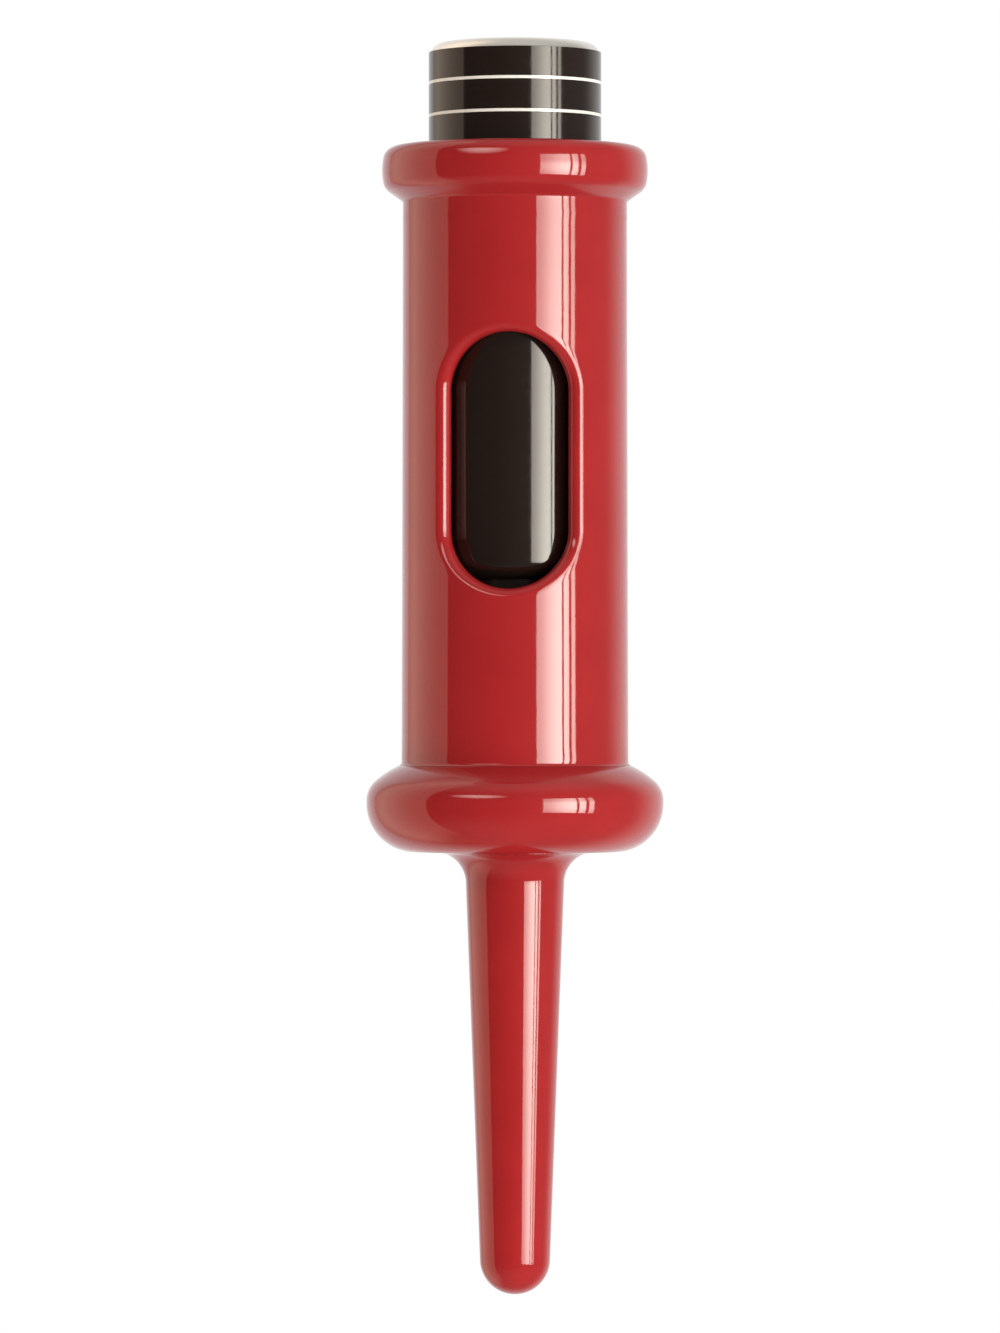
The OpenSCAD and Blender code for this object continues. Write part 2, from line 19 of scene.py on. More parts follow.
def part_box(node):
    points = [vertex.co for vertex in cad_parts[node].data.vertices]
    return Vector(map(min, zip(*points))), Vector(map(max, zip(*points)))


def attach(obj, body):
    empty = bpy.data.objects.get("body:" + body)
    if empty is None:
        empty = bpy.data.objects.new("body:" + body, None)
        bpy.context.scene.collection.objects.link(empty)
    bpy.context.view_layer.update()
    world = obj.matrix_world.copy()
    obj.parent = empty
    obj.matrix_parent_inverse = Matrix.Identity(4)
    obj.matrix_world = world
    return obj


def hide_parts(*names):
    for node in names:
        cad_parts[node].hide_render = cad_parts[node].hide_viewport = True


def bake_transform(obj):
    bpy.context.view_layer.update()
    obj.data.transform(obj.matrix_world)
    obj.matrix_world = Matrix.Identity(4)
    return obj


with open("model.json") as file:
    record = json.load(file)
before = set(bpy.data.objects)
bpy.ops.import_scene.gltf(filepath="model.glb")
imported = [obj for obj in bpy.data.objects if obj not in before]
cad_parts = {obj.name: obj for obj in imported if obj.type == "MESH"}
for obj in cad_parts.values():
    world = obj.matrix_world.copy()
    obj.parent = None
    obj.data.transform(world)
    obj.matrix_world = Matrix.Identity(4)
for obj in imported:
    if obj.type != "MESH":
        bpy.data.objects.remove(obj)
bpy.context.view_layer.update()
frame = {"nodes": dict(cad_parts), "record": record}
MM = 0.001


def box_mm(node):
    """Lowest and highest corner of a CAD node, in millimetres."""
    return [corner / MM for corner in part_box(node)]


# %% [markdown]
# ## Drawing with ruler and compass
#
# Almost every piece of the opener is turned: one outline, swung round the axis. An outline could be a long
# list of points, but a maker draws straight runs and arcs. So a vertex is pulled along a line, or swung
# about an arc's centre with the spin operator, and each call leaves edges behind it. Outlines lie in the
# plane y = 0, as (radius, height) in millimetres, and a whole piece is scaled to metres at the end.

# %% Ruler and compass
ARC_STEP = 3.0  # degrees between two points of an arc


def start_at(bm, r, z):
    return bm.verts.new((r, 0, z))


def line_to(bm, tip, r, z, steps=1):
    """Pulls the tip along a straight line and returns the new tip."""
    begin, end = tip.co.copy(), Vector((r, 0, z))
    for k in range(1, steps + 1):
        tip = bmesh.ops.extrude_vert_indiv(bm, verts=[tip])["verts"][0]
        tip.co = begin.lerp(end, k / steps)
    return tip


def turn_about(bm, tip, r, z, degrees, steps=None):
    """Swings the tip about a centre, anticlockwise if degrees is positive, and returns the new tip."""
    steps = steps or max(3, math.ceil(abs(degrees) / ARC_STEP))
    swung = bmesh.ops.spin(
        bm, geom=[tip], cent=(r, 0, z), axis=(0, -1, 0), dvec=(0, 0, 0),
        angle=math.radians(degrees), steps=steps,
        use_merge=False, use_normal_flip=False, use_duplicate=False,
    )
    return [item for item in swung["geom_last"] if isinstance(item, bmesh.types.BMVert)][0]


# %% Turning an outline, and handing a piece in
TURN_STEPS = 192  # flats round a turned piece
SHARP_ANGLE = 38.0  # degrees between two faces, above which their edge is sharp
MERGE_DIST = 0.0005  # millimetres between points that count as one
TINY_EDGE = 0.0001


def turn_outline(bm):
    """Swings everything drawn so far once round the axis."""
    bmesh.ops.spin(
        bm, geom=bm.verts[:] + bm.edges[:], cent=(0, 0, 0), axis=(0, 0, 1), dvec=(0, 0, 0),
        angle=math.tau, steps=TURN_STEPS,
        use_merge=True, use_normal_flip=False, use_duplicate=False,
    )


def hand_in(bm, name, body, nodes):
    """Closes the seams, turns the faces outwards, scales to metres and puts the piece on its body.

    A piece with no body is left untied.
    """
    bmesh.ops.remove_doubles(bm, verts=bm.verts[:], dist=MERGE_DIST)
    bmesh.ops.dissolve_degenerate(bm, edges=bm.edges[:], dist=TINY_EDGE)
    bmesh.ops.recalc_face_normals(bm, faces=bm.faces[:])
    bmesh.ops.scale(bm, vec=(MM, MM, MM), verts=bm.verts[:])
    open_edges = sum(not edge.is_manifold for edge in bm.edges)
    mesh = bpy.data.meshes.new(name)
    bm.to_mesh(mesh)
    bm.free()
    mesh.polygons.foreach_set("use_smooth", [True] * len(mesh.polygons))
    mesh.set_sharp_from_angle(angle=math.radians(SHARP_ANGLE))
    piece = bpy.data.objects.new(name, mesh)
    bpy.context.collection.objects.link(piece)
    if body:
        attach(piece, body)
    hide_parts(*nodes)
    print(name, "faces:", len(mesh.polygons), "open edges:", open_edges)
    return piece


# %% [markdown]
# ## The base ring
#
# The ring at the foot is a fat moulding with a soft belly: a big round below, a tighter nose above, and a
# flatter crown that runs up to the handle. Inside it has a pocket for the cutter, a floor with a hole for
# the needle's hub, and a spigot that the handle is bonded to. One closed outline, turned once, makes it all.

# %% Sizes shared by the ring and the handle
ring_high = box_mm("base_ring")[1]
ring_r = ring_high.x
spigot_top_z = ring_high.z
ring_low_r = 9.8
ring_band = 0.6
ring_nose_r = 5.4
ring_nose_turn = 49.0
ring_crown_r = 20.0
can_gap = 0.7
handle_wall = 4.45
foot_spread = 0.3
bond_gap = 0.02
spigot_wall = 1.6
pocket_gap = 0.05
bore_r = box_mm("can_label")[1].x + can_gap
wall_top_r = bore_r + handle_wall
foot_r = wall_top_r + foot_spread
spigot_r = bore_r - bond_gap
spigot_in_r = spigot_r - spigot_wall
pocket_r = box_mm("cutter_carrier")[1].x + pocket_gap
floor_z = box_mm("cutter_carrier")[1].z
hub_hole_r = 5.02

low_at = Vector((ring_r - ring_low_r, 0))
low_at.y = math.sqrt(ring_low_r ** 2 - (pocket_r - low_at.x) ** 2)
nose_at = Vector((ring_r - ring_nose_r, low_at.y + ring_band))
nose_end = Vector((math.cos(math.radians(ring_nose_turn)), math.sin(math.radians(ring_nose_turn))))
crown_at = nose_at + (ring_nose_r - ring_crown_r) * nose_end
crown_turn = math.degrees(math.acos((foot_r - crown_at.x) / ring_crown_r)) - ring_nose_turn


def crown_z(r):
    """Height of the ring's crown at a radius."""
    return crown_at.y + math.sqrt(ring_crown_r ** 2 - (r - crown_at.x) ** 2)


seat_z = crown_z(foot_r)
print("ring radius", round(ring_r, 2), "handle seat at", round(seat_z, 2))

# %% Draw and turn the ring
bm = bmesh.new()
low_turn = math.degrees(math.acos((pocket_r - low_at.x) / ring_low_r))
tip = start_at(bm, pocket_r, 0)
tip = turn_about(bm, tip, *low_at, low_turn)
tip = line_to(bm, tip, ring_r, nose_at.y)
tip = turn_about(bm, tip, *nose_at, ring_nose_turn)
tip = turn_about(bm, tip, *crown_at, crown_turn)
for r, z in (
    (spigot_r, seat_z), (spigot_r, spigot_top_z), (spigot_in_r, spigot_top_z), (spigot_in_r, seat_z),
    (hub_hole_r, seat_z), (hub_hole_r, floor_z), (pocket_r, floor_z), (pocket_r, 0),
):
    tip = line_to(bm, tip, r, z)
turn_outline(bm)
ring_piece = hand_in(bm, "ring_moulding", "handle", ["base_ring"])

# %% [markdown]
# ## The handle's window
#
# The handle is a drafted tube with an oval window, and the window's edge is rolled: a small ball rolled
# along the corner between the slot and the tube would leave just this shape. A boolean cut with a bevel
# makes ragged shading on gloss, so the mesh grows out of the window instead. It starts as the slot's loop on
# the bore, and the loop is extruded step by step: along the slot, round the rolled edge, then over the tube
# until it lies on the tube's upper and lower rims and meets itself at the back.

# %% Sizes of the handle
handle_high = box_mm("handle_body")[1]
collar_r = handle_high.x
handle_top_z = handle_high.z
draft = (foot_r - wall_top_r) / (handle_top_z - seat_z)
window_w = 23.6
window_h = 51.3
window_above_seat = 61.0
lip_r = 1.9
foot_part_h = 1.4
collar_part_h = 14.6
window_z = seat_z + window_above_seat
patch_low_z = seat_z + foot_part_h
patch_high_z = handle_top_z - collar_part_h


def wall_r(z):
    """Outside radius of the drafted tube at a height."""
    return foot_r - draft * (z - seat_z)


def on_round(angle, r, z):
    """Point at an angle from the window's side, on a circle about the axis."""
    return Vector((r * math.sin(angle), -r * math.cos(angle), z))


print("window centre", round(window_z, 2), "tube from", round(patch_low_z, 2), "to", round(patch_high_z, 2))

# %% The slot's loop, and where each of its points is going
SIDE_STEPS = 64
bm = bmesh.new()
half_straight = (window_h - window_w) / 2
tip = start_at(bm, window_w / 2, window_z + half_straight)
tip = turn_about(bm, tip, 0, window_z + half_straight, 180, TURN_STEPS)
tip = line_to(bm, tip, -window_w / 2, window_z - half_straight, SIDE_STEPS)
tip = turn_about(bm, tip, 0, window_z - half_straight, 180, TURN_STEPS)
line_to(bm, tip, window_w / 2, window_z + half_straight, SIDE_STEPS)
bmesh.ops.remove_doubles(bm, verts=bm.verts[:], dist=0.001)


def window_spot(co):
    """Outward direction of the slot's side at a loop point, and its goal on the unrolled tube."""
    above = abs(co.z - window_z) - half_straight
    up = math.copysign(1, co.z - window_z)
    if above > -1e-4:
        side = Vector((co.x, 0, up * above)).normalized()
        goal = Vector((math.atan2(side.x, up * side.z) * 2, patch_high_z if up > 0 else patch_low_z))
        goal.x = math.copysign(min(abs(goal.x), math.pi), co.x)
    else:
        side = Vector((math.copysign(1, co.x), 0, 0))
        share = 0.5 + (co.z - window_z) / (2 * half_straight)
        goal = Vector((math.copysign(math.pi, co.x), patch_low_z + share * (patch_high_z - patch_low_z)))
    return side, goal


spots = {vert: window_spot(vert.co) for vert in bm.verts}
print("window loop:", len(bm.verts), "points")

# %% Push the loop out, one step at a time
LIP_STEPS = 10
PATCH_STEPS = 18
CROWDING = 1.4  # above 1 the loops lie closer together near the window


def push_loop(bm, edges, spots, place):
    """Extrudes a loop of edges and puts each new point where place says; spots travel with the points."""
    before = list({vert for edge in edges for vert in edge.verts})
    made = bmesh.ops.extrude_edge_only(bm, edges=edges)["geom"]
    new_verts = [item for item in made if isinstance(item, bmesh.types.BMVert)]
    new_edges = [item for item in made if isinstance(item, bmesh.types.BMEdge)]
    old_at = {tuple(vert.co): vert for vert in before}
    new_spots = {vert: spots[old_at[tuple(vert.co)]] for vert in new_verts}
    for vert, spot in new_spots.items():
        vert.co = place(spot)
    outline = [edge for edge in new_edges if edge.verts[0] in new_spots and edge.verts[1] in new_spots]
    return outline, new_spots


def slot_point(spot):
    """A point of the slot's edge line, in the window's plane."""
    side = spot[0]
    high = spot[2] * half_straight
    return Vector((side.x * window_w / 2, 0, window_z + high + side.z * window_w / 2))


def ball_at(spot):
    """Centre of the ball that rolls between the slot's side and the tube."""
    flat = slot_point(spot) + spot[0] * lip_r
    reach = wall_r(flat.z) - lip_r
    return Vector((flat.x, -math.sqrt(reach ** 2 - flat.x ** 2), flat.z))


def lip_point(spot, share):
    """A point of the rolled edge: share 0 lies on the slot's side, share 1 on the tube."""
    ball = ball_at(spot)
    inward, out = -spot[0], Vector((ball.x, ball.y, 0)).normalized()
    whole = inward.angle(out)
    spoke = (math.sin(whole * share) * out + math.sin(whole * (1 - share)) * inward) / math.sin(whole)
    return ball + lip_r * spoke


def tube_point(spot, share, radius_at, begin):
    """A point on a tube between a starting point and the spot's goal on the unrolled tube."""
    angle = math.atan2(begin.x, -begin.y)
    angle += (spot[1].x - angle) * share
    z = begin.z + (spot[1].y - begin.z) * share
    return on_round(angle, radius_at(z), z)


def bore_point(spot):
    flat = slot_point(spot)
    return Vector((flat.x, -math.sqrt(bore_r ** 2 - flat.x ** 2), flat.z))


for vert, (side, goal) in spots.items():
    straight = max(-1.0, min(1.0, (vert.co.z - window_z) / half_straight))
    spots[vert] = (side, goal, straight)
for vert in bm.verts:
    vert.co = bore_point(spots[vert])
slot_loop = bm.edges[:]

loop, loop_spots = slot_loop, spots
for step in range(LIP_STEPS + 1):
    loop, loop_spots = push_loop(bm, loop, loop_spots, lambda spot: lip_point(spot, step / LIP_STEPS))
for step in range(1, PATCH_STEPS + 1):
    share = (step / PATCH_STEPS) ** CROWDING
    loop, loop_spots = push_loop(
        bm, loop, loop_spots, lambda spot: tube_point(spot, share, wall_r, lip_point(spot, 1)))
loop, loop_spots = slot_loop, spots
for step in range(1, PATCH_STEPS + 1):
    share = (step / PATCH_STEPS) ** CROWDING
    loop, loop_spots = push_loop(
        bm, loop, loop_spots, lambda spot: tube_point(spot, share, lambda z: bore_r, bore_point(spot)))
print("window patch:", len(bm.faces), "faces")

# %% [markdown]
# ## The collar and the foot
#
# The tube's upper rim carries a collar with a barrelled band, a sloped underside and a soft corner, and its
# lower rim flares a little where it sits on the ring. Both are plain turned outlines. They start and end on
# the rims of the window patch and have the same number of flats, so their points meet, and merging the
# doubles joins them. Rounding leaves some points of the rims half a micrometre apart, just past the merge
# distance: these are the open edges that hand_in counts here.

# %% Draw and turn the collar and the foot
collar_band = 5.1
barrel_r = 13.5
collar_top_r = 2.7
collar_low_r = 3.0
collar_slope = 35.0
corner_r = 0.6
bore_edge_r = 0.8
foot_fillet = 0.8
foot_turn = 60.0


def polar(r, degrees):
    return Vector((r * math.cos(math.radians(degrees)), r * math.sin(math.radians(degrees))))


barrel_turn = math.degrees(math.asin(collar_band / 2 / barrel_r))
barrel_z = handle_top_z - collar_band / 2 - collar_top_r * (1 - math.sin(math.radians(barrel_turn)))
barrel_at = Vector((collar_r - barrel_r, barrel_z))
top_at = barrel_at + polar(barrel_r - collar_top_r, barrel_turn)
under_at = barrel_at + polar(barrel_r - collar_low_r, -barrel_turn)
low_end = under_at + polar(collar_low_r, collar_slope - 90)
corner_z = low_end.y - (low_end.x - wall_top_r) * math.tan(math.radians(collar_slope))
corner_cut = corner_r / math.tan(math.radians(45 + collar_slope / 2))
corner_at = Vector((wall_r(corner_z - corner_cut) + corner_r, corner_z - corner_cut))

turned = bmesh.new()
tip = start_at(turned, wall_r(patch_high_z), patch_high_z)
tip = line_to(turned, tip, corner_at.x - corner_r, corner_at.y, steps=3)
tip = turn_about(turned, tip, *corner_at, collar_slope - 90)
tip = line_to(turned, tip, *low_end, steps=3)
tip = turn_about(turned, tip, *under_at, 90 - collar_slope - barrel_turn)
tip = turn_about(turned, tip, *barrel_at, 2 * barrel_turn, steps=12)
tip = turn_about(turned, tip, *top_at, 90 - barrel_turn)
tip = line_to(turned, tip, bore_r + bore_edge_r, handle_top_z, steps=3)
tip = turn_about(turned, tip, bore_r + bore_edge_r, handle_top_z - bore_edge_r, 90)
tip = line_to(turned, tip, bore_r, patch_high_z, steps=3)

foot_tip_r = foot_r + foot_fillet * (1 - math.cos(math.radians(foot_turn)))
foot_tip_z = crown_z(foot_tip_r) + bond_gap
foot_at = Vector((foot_r + foot_fillet, foot_tip_z + foot_fillet * math.sin(math.radians(foot_turn))))
tip = start_at(turned, bore_r, patch_low_z)
tip = line_to(turned, tip, bore_r, seat_z)
tip = line_to(turned, tip, foot_r, seat_z)
tip = line_to(turned, tip, foot_tip_r, foot_tip_z)
tip = turn_about(turned, tip, *foot_at, -foot_turn)
tip = line_to(turned, tip, wall_r(patch_low_z), patch_low_z)
turn_outline(turned)
collar_and_foot = bpy.data.meshes.new("collar_and_foot")
turned.to_mesh(collar_and_foot)
turned.free()
bm.from_mesh(collar_and_foot)
bpy.data.meshes.remove(collar_and_foot)
handle_piece = hand_in(bm, "handle_moulding", "handle", ["handle_body"])

# %% [markdown]
# ## The needle guard
#
# The guard is a thin-walled taper with a round tip. At its top it flares into a lip under the ring, and a
# short plug above the lip grips the mouth. The outline runs up the hollow, round the plug and the lip, and
# down the outside, from axis to axis, so that the turned skin is closed.

# %% Draw and turn the guard
guard_low, guard_high = box_mm("needle_guard")
plug_r = guard_high.x
plug_top_z = guard_high.z
guard_tip_z = guard_low.z
guard_wall = 2.0
guard_top_r = 9.95
guard_tip_r = 7.1
flare_r = 6.4
flare_z = -6.6
lip_reach = 5.6
plate_low_z = 0.4
plate_top_z = 2.4
plug_wall = 1.5

guard_lip_r = guard_top_r + lip_reach
tip_ball_z = guard_tip_z + guard_tip_r
taper = math.degrees(math.atan((guard_top_r - guard_tip_r) / (flare_z - tip_ball_z)))
hollow_r = guard_top_r - guard_wall + plate_top_z * math.tan(math.radians(taper))
flare_at = Vector((guard_top_r + flare_r, flare_z))
flare_from = math.degrees(math.acos((guard_lip_r - flare_at.x) / flare_r))
flare_top = flare_at + polar(flare_r, flare_from)
taper_end = Vector((0, tip_ball_z)) + polar(guard_tip_r, -taper)

bm = bmesh.new()
tip = start_at(bm, 0, guard_tip_z + guard_wall)
tip = turn_about(bm, tip, 0, tip_ball_z, 90 - taper)
for r, z in (
    (hollow_r, plate_top_z), (plug_r - plug_wall, plate_top_z), (plug_r - plug_wall, plug_top_z),
    (plug_r - plug_wall / 2, plug_top_z), (plug_r, plug_top_z - plug_wall / 2), (plug_r, plate_low_z),
    (guard_lip_r, plate_low_z), tuple(flare_top),
):
    tip = line_to(bm, tip, r, z)
tip = turn_about(bm, tip, *flare_at, 180 - flare_from)
tip = line_to(bm, tip, *taper_end, steps=24)
tip = turn_about(bm, tip, 0, tip_ball_z, taper - 90)
turn_outline(bm)
guard_piece = hand_in(bm, "guard_moulding", "guard", ["needle_guard"])

# %% [markdown]
# ## The gas can
#
# The can is drawn from one slug of aluminium: a domed base with a standing rim, a straight wall, a shoulder
# and a rolled bead at the mouth, which the valve cup is crimped on. It stands on its head here, so the base
# is at the top. When the can is lifted out the whole of it shows, so it is modelled inside and out.

# %% Draw and turn the can
can_low, can_high = box_mm("can_shell")
can_r = can_high.x
can_top_z = can_high.z
can_wall = 0.5
can_edge_r = 3.0
can_rim_w = 1.5
can_dome = 4.2
shoulder_r = 3.8
bead_r = 1.2
bead_mid_r = 14.1
neck_h = 5.2
bead_at = Vector((bead_mid_r, can_low.z + bead_r))
neck_r = bead_at.x - bead_r / 2
neck_z = bead_at.y + neck_h
shoulder_at = Vector((can_r - shoulder_r, neck_z + shoulder_r))
edge_at = Vector((can_r - can_edge_r, can_top_z - can_edge_r))
rim_in_r = edge_at.x - can_rim_w
dome_r = (rim_in_r ** 2 + can_dome ** 2) / (2 * can_dome)
dome_z = can_top_z - can_dome + dome_r
dome_turn = math.degrees(math.asin(rim_in_r / dome_r))
bead_out = 120.0
bead_in = math.degrees(math.acos((neck_r - can_wall - bead_at.x) / bead_r))

bm = bmesh.new()
tip = start_at(bm, 0, can_top_z - can_dome)
tip = turn_about(bm, tip, 0, dome_z, dome_turn)
tip = line_to(bm, tip, edge_at.x, can_top_z)
tip = turn_about(bm, tip, *edge_at, -90)
tip = line_to(bm, tip, can_r, shoulder_at.y, steps=12)
tip = turn_about(bm, tip, *shoulder_at, -90)
tip = line_to(bm, tip, neck_r, neck_z)
tip = line_to(bm, tip, *(bead_at + polar(bead_r, bead_out)))
tip = turn_about(bm, tip, *bead_at, bead_in - bead_out - 360, steps=40)
tip = line_to(bm, tip, neck_r - can_wall, neck_z + can_wall)
tip = line_to(bm, tip, shoulder_at.x, neck_z + can_wall)
tip = turn_about(bm, tip, *shoulder_at, 90)
tip = line_to(bm, tip, can_r - can_wall, edge_at.y, steps=12)
tip = turn_about(bm, tip, *edge_at, 90)
tip = line_to(bm, tip, *(Vector((0, dome_z)) + polar(dome_r + can_wall, dome_turn - 90)))
tip = turn_about(bm, tip, 0, dome_z, -dome_turn)
turn_outline(bm)
can_piece = hand_in(bm, "can_drawn", "cartridge", ["can_shell"])

# %% [markdown]
# ## The printed film
#
# A black film sleeve stops short of the can's rim, so that a line of bare metal shows at the top, and at its
# lower end it is shrunk round the can's shoulder. It laps over itself at the back. The sleeve is a thin
# turned strip that follows the can; the lap is a face swung through a few degrees, which makes a thin closed
# strip that stands one film's thickness proud.

# %% Turn the sleeve and lay the lap on it
film_top_z = box_mm("can_label")[1].z
lap_r = box_mm("can_label")[1].x
lap_proud = 0.04
film_gap = 0.02
film_edge = 0.03
film_wrap = 70.0
lap_turn = 14.0
lap_gap = 0.005
lap_margin = 0.2
film_r = lap_r - lap_proud
film_in_r = can_r + film_gap
bm = bmesh.new()
begin = shoulder_at + polar(shoulder_r + film_gap, -film_wrap)
tip = start_at(bm, *begin)
tip = turn_about(bm, tip, *shoulder_at, film_wrap)
tip = line_to(bm, tip, film_in_r, film_top_z, steps=8)
tip = line_to(bm, tip, film_r - film_edge, film_top_z)
tip = line_to(bm, tip, film_r, film_top_z - film_edge)
tip = line_to(bm, tip, film_r, shoulder_at.y, steps=8)
tip = turn_about(bm, tip, *shoulder_at, -film_wrap)
tip = line_to(bm, tip, *begin)
turn_outline(bm)
lap_edges = bmesh.ops.create_grid(bm, x_segments=1, y_segments=8, size=0.5)["verts"]
for vert in lap_edges:
    r = film_r + lap_gap + (vert.co.x + 0.5) * (lap_r - film_r - lap_gap)
    z = shoulder_at.y + lap_margin + (vert.co.y + 0.5) * (film_top_z - shoulder_at.y - 2 * lap_margin)
    vert.co = on_round(math.radians(180 - lap_turn / 2), r, z)
lap_faces = list({face for vert in lap_edges for face in vert.link_faces})
bmesh.ops.spin(
    bm, geom=lap_faces, cent=(0, 0, 0), axis=(0, 0, 1), dvec=(0, 0, 0),
    angle=math.radians(lap_turn), steps=8,
    use_merge=False, use_normal_flip=False, use_duplicate=False,
)
film_piece = hand_in(bm, "can_film", "cartridge", ["can_label"])

# %% [markdown]
# ## The valve spring
#
# A coil of steel wire stands on the stem's shoulder and presses against the end of the valve's chamber.
# Swinging the wire's round section round the axis, and lifting it a little at each step, winds it in one go.
# When the can is pressed the real coil shortens; here it is wound once and tied to no body.

# %% Wind the spring
spring_low, spring_high = box_mm("valve_spring")
wire_r = 0.35
wire_sides = 16
spring_turns = 5
steps_a_turn = 32
coil_r = spring_high.x - wire_r
coil_h = spring_high.z - spring_low.z - 2 * wire_r
bm = bmesh.new()
bmesh.ops.create_circle(bm, cap_ends=True, segments=wire_sides, radius=wire_r)
bmesh.ops.rotate(bm, cent=(0, 0, 0), matrix=Matrix.Rotation(math.radians(90), 3, "X"), verts=bm.verts[:])
bmesh.ops.translate(bm, vec=(coil_r, 0, spring_low.z + wire_r), verts=bm.verts[:])
bmesh.ops.spin(
    bm, geom=bm.faces[:], cent=(0, 0, 0), axis=(0, 0, 1),
    dvec=(0, 0, coil_h / (spring_turns * steps_a_turn)),
    angle=math.tau * spring_turns, steps=spring_turns * steps_a_turn,
    use_merge=False, use_normal_flip=False, use_duplicate=False,
)
spring_piece = hand_in(bm, "spring_coil", None, ["valve_spring"])
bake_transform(spring_piece)
print("coil height", round(coil_h, 2))

# %% [markdown]
# ## Finishes
#
# Every finish is a Principled shader fed by patterns on Object coordinates, which are metres on the piece
# itself, so a noise scale of 400 means grains of about 2.5 mm. A helper adds nodes and links in one line.
# Numbers that hold for the whole surface, such as the index of refraction, are set on the socket.

# %% Node helpers
NOISE_SPAN = (0.3, 0.7)  # nearly all values of a noise lie between these


def new_finish(name):
    """A material with a Principled shader, and a function that adds a node with its settings and inputs."""
    finish = bpy.data.materials.new(name)
    finish.use_nodes = True
    tree = finish.node_tree
    shader = tree.nodes["Principled BSDF"]

    def add(kind, settings=None, **inputs):
        node = tree.nodes.new("ShaderNode" + kind)
        for key, value in (settings or {}).items():
            setattr(node, key, value)
        for key, value in inputs.items():
            socket = node.inputs[int(key[1:])] if key[0] == "i" and key[1:].isdigit() else node.inputs[key]
            if isinstance(value, bpy.types.NodeSocket):
                tree.links.new(value, socket)
            else:
                socket.default_value = value
        return node

    return finish, shader, add, tree.links.new


def blend_colours(add, factor, first, second):
    """Mix of two colours by a factor between 0 and 1."""
    mix = add("Mix", {"data_type": "RGBA"}, Factor=factor)
    mix.inputs["A"].default_value = (*first, 1)
    mix.inputs["B"].default_value = (*second, 1)
    return mix.outputs["Result"]


def spread(add, value, low, high, to_low, to_high):
    """Takes a value from one range to another, held at the ends."""
    mapped = add("MapRange", None, Value=value)
    for key, number in (("From Min", low), ("From Max", high), ("To Min", to_low), ("To Max", to_high)):
        mapped.inputs[key].default_value = number
    return mapped.outputs["Result"]


def grain(add, where, scale, detail=2.0):
    noise = add("TexNoise", None, Vector=where, Scale=scale, Detail=detail)
    return noise.outputs["Fac"]


def relief(add, shader, link, height, strength, distance):
    bump = add("Bump", None, Height=height, Strength=strength, Distance=distance)
    link(bump.outputs["Normal"], shader.inputs["Normal"])


def turned_coords(add, where):
    """Coordinates that are the same all round the axis: (radius, 0, height)."""
    parts = add("SeparateXYZ", None, Vector=where)
    flat = add("CombineXYZ", None, X=parts.outputs["X"], Y=parts.outputs["Y"])
    radius = add("VectorMath", {"operation": "LENGTH"}, i0=flat.outputs["Vector"])
    return add("CombineXYZ", None, X=radius.outputs["Value"], Z=parts.outputs["Z"]).outputs["Vector"]


print("node helpers ready")

# %% [markdown]
# ### Red gloss moulding
#
# The handle, ring and guard are pigmented plastic from a polished mould. The pigment clouds a little, the
# polish is not quite even, and the skin has a hint of orange peel, so colour, roughness and bump each get
# their own noise. All three stay weak: the real surface mirrors the studio sharply.

# %% Red gloss
def red_gloss():
    finish, shader, add, link = new_finish("red_gloss_moulding")
    where = add("TexCoord").outputs["Object"]
    clouds = spread(add, grain(add, where, 70.0, 3.0), *NOISE_SPAN, 0.0, 1.0)
    pigment = blend_colours(add, clouds, (0.295, 0.0125, 0.0145), (0.325, 0.0145, 0.0170))
    link(pigment, shader.inputs["Base Color"])
    link(spread(add, grain(add, where, 260.0, 4.0), *NOISE_SPAN, 0.035, 0.075), shader.inputs["Roughness"])
    relief(add, shader, link, grain(add, where, 420.0, 1.0), 0.02, 0.0002)
    shader.inputs["IOR"].default_value = 1.52
    return finish


red_finish = red_gloss()
red_pieces = (handle_piece, ring_piece, guard_piece)
for piece in red_pieces:
    piece.data.materials.append(red_finish)
print("red gloss on", len(red_pieces), "pieces")

# %% [markdown]
# ### Black printed film
#
# The film is printed solid black, with two plain pale stripes round the top of the can. A stripe is a test
# on the height: the Compare operation of a Math node is 1 within a small distance of a height. Ink is
# never quite even, so the black drifts slightly, and the film has faint ripples along its height.

# %% Black film
stripe_heights = (148.6, 155.2)
stripe_half = 0.3


def black_film():
    finish, shader, add, link = new_finish("black_printed_film")
    where = add("TexCoord").outputs["Object"]
    height = add("SeparateXYZ", None, Vector=where).outputs["Z"]
    low, high = (
        add("Math", {"operation": "COMPARE"}, i0=height, i1=z * MM, i2=stripe_half * MM).outputs["Value"]
        for z in stripe_heights
    )
    stripes = add("Math", {"operation": "MAXIMUM"}, i0=low, i1=high).outputs["Value"]
    drift = grain(add, where, 120.0, 4.0)
    ink = blend_colours(add, drift, (0.0100, 0.0056, 0.0042), (0.0130, 0.0076, 0.0060))
    print_mix = add("Mix", {"data_type": "RGBA"}, Factor=stripes)
    link(ink, print_mix.inputs["A"])
    print_mix.inputs["B"].default_value = (0.78, 0.77, 0.73, 1)
    link(print_mix.outputs["Result"], shader.inputs["Base Color"])
    link(spread(add, grain(add, where, 500.0, 3.0), *NOISE_SPAN, 0.07, 0.12), shader.inputs["Roughness"])
    relief(add, shader, link, grain(add, where, 160.0, 1.0), 0.03, 0.0002)
    shader.inputs["IOR"].default_value = 1.5
    shader.inputs["Specular Tint"].default_value = (1.0, 0.96, 0.92, 1)
    return finish


film_piece.data.materials.append(black_film())
print("stripes at", stripe_heights)

